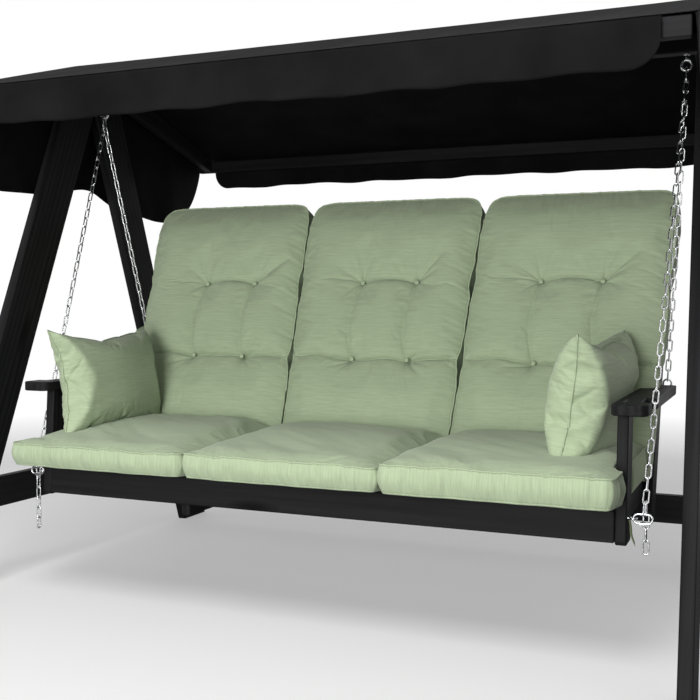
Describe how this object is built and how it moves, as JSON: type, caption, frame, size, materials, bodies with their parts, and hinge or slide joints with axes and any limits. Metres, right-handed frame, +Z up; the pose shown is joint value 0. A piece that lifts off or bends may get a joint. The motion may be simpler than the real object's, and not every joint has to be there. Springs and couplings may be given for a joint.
{
  "type": "garden swing seat",
  "caption": "Free-standing timber garden swing: A-frame stand with a cloth canopy and a chain-hung bench with padded seat, tufted back and scatter cushions.",
  "frame": {"origin": "on the ground, midway between the four feet, under the swing axis", "axes": "+X along the bench to the right as seen from the front, +Y to the back, +Z up"},
  "size_m": [2.1364, 1.5741, 1.72],
  "materials": {
    "black_timber": "satin",
    "canopy_cloth": "matte",
    "cushion_cover": "matte",
    "button_cover": "matte",
    "tie_tape": "matte",
    "zinc_steel": "satin",
    "black_fixings": "satin"
  },
  "bodies": {
    "stand": {"canopy_roof": "canopy_cloth", "canopy_valance_front": "canopy_cloth", "canopy_valance_left": "canopy_cloth", "canopy_valance_rear": "canopy_cloth", "canopy_valance_right": "canopy_cloth", "eye_bolt_nuts": "zinc_steel", "eye_bolts": "zinc_steel", "frame_bolts": "black_fixings", "front_eave_rail": "black_timber", "front_leg_left": "black_timber", "front_leg_right": "black_timber", "front_rafter_left": "black_timber", "front_rafter_right": "black_timber", "rear_beam": "black_timber", "rear_eave_rail": "black_timber", "rear_leg_left": "black_timber", "rear_leg_right": "black_timber", "rear_rafter_left": "black_timber", "rear_rafter_right": "black_timber", "side_bar_left": "black_timber", "side_bar_right": "black_timber", "top_beam": "black_timber"},
    "bench": {"arm_post_left": "black_timber", "arm_post_right": "black_timber", "armrest_left": "black_timber", "armrest_right": "black_timber", "back_cushion_left": "cushion_cover", "back_cushion_middle": "cushion_cover", "back_cushion_right": "cushion_cover", "back_slats": "black_timber", "back_stile_left": "black_timber", "back_stile_right": "black_timber", "bearer_left": "black_timber", "bearer_right": "black_timber", "bench_screws": "black_fixings", "cushion_tie": "tie_tape", "front_chain_left": "zinc_steel", "front_chain_right": "zinc_steel", "front_rail": "black_timber", "hanging_shackles": "zinc_steel", "pillow_left": "cushion_cover", "pillow_right": "cushion_cover", "quick_link_nuts": "zinc_steel", "quick_links": "zinc_steel", "rear_chain_left": "zinc_steel", "rear_chain_right": "zinc_steel", "rear_rail": "black_timber", "screw_eyes": "zinc_steel", "seat_cushion_left": "cushion_cover", "seat_cushion_middle": "cushion_cover", "seat_cushion_right": "cushion_cover", "seat_slats": "black_timber", "side_rail_left": "black_timber", "side_rail_right": "black_timber", "tuft_buttons": "button_cover"},
    "tail_left": {"chain_tail_left": "zinc_steel"},
    "tail_right": {"chain_tail_right": "zinc_steel"}
  },
  "joints": [
    {"name": "swing", "type": "hinge", "parent": "stand", "child": "bench", "pos_m": [0, 0, 1.526], "axis": [1, 0, 0], "range_deg": [-14, 14]},
    {"name": "tail_left_hang", "type": "hinge", "parent": "bench", "child": "tail_left", "pos_m": [-0.92501, -0.4139, 0.39778], "axis": [1, 0, 0], "range_deg": [0, 20]},
    {"name": "tail_right_hang", "type": "hinge", "parent": "bench", "child": "tail_right", "pos_m": [0.92501, -0.4139, 0.39778], "axis": [1, 0, 0], "range_deg": [0, 20]}
  ]
}
